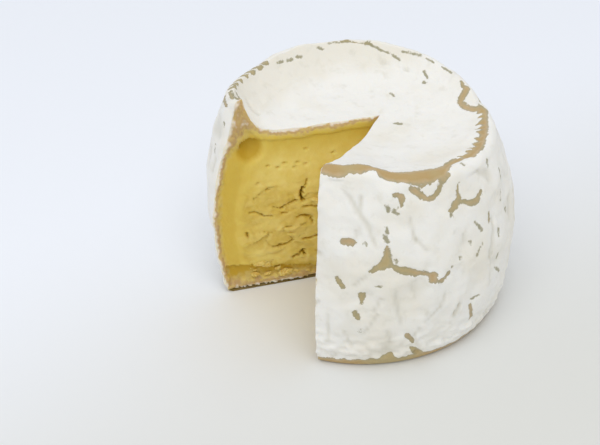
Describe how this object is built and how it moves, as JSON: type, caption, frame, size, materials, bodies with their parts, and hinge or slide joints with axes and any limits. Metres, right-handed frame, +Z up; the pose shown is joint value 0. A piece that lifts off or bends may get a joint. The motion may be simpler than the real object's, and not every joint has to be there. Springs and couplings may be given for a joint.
{
  "type": "cut drum-shaped cheese",
  "caption": "Small soft-ripened cheese drum with a white bloomy rind, a dished top and one wedge cut out, showing its yellow paste.",
  "frame": {"origin": "middle of the bounding box, at the flat base the cheese stands on", "axes": "+Z up through the drum, -Y out through the middle of the notch that the wedge left"},
  "size_m": [0.094, 0.0828, 0.067],
  "materials": {
    "rind": null
  },
  "bodies": {
    "root": {"triple_cream_cheese": "rind"}
  },
  "joints": []
}
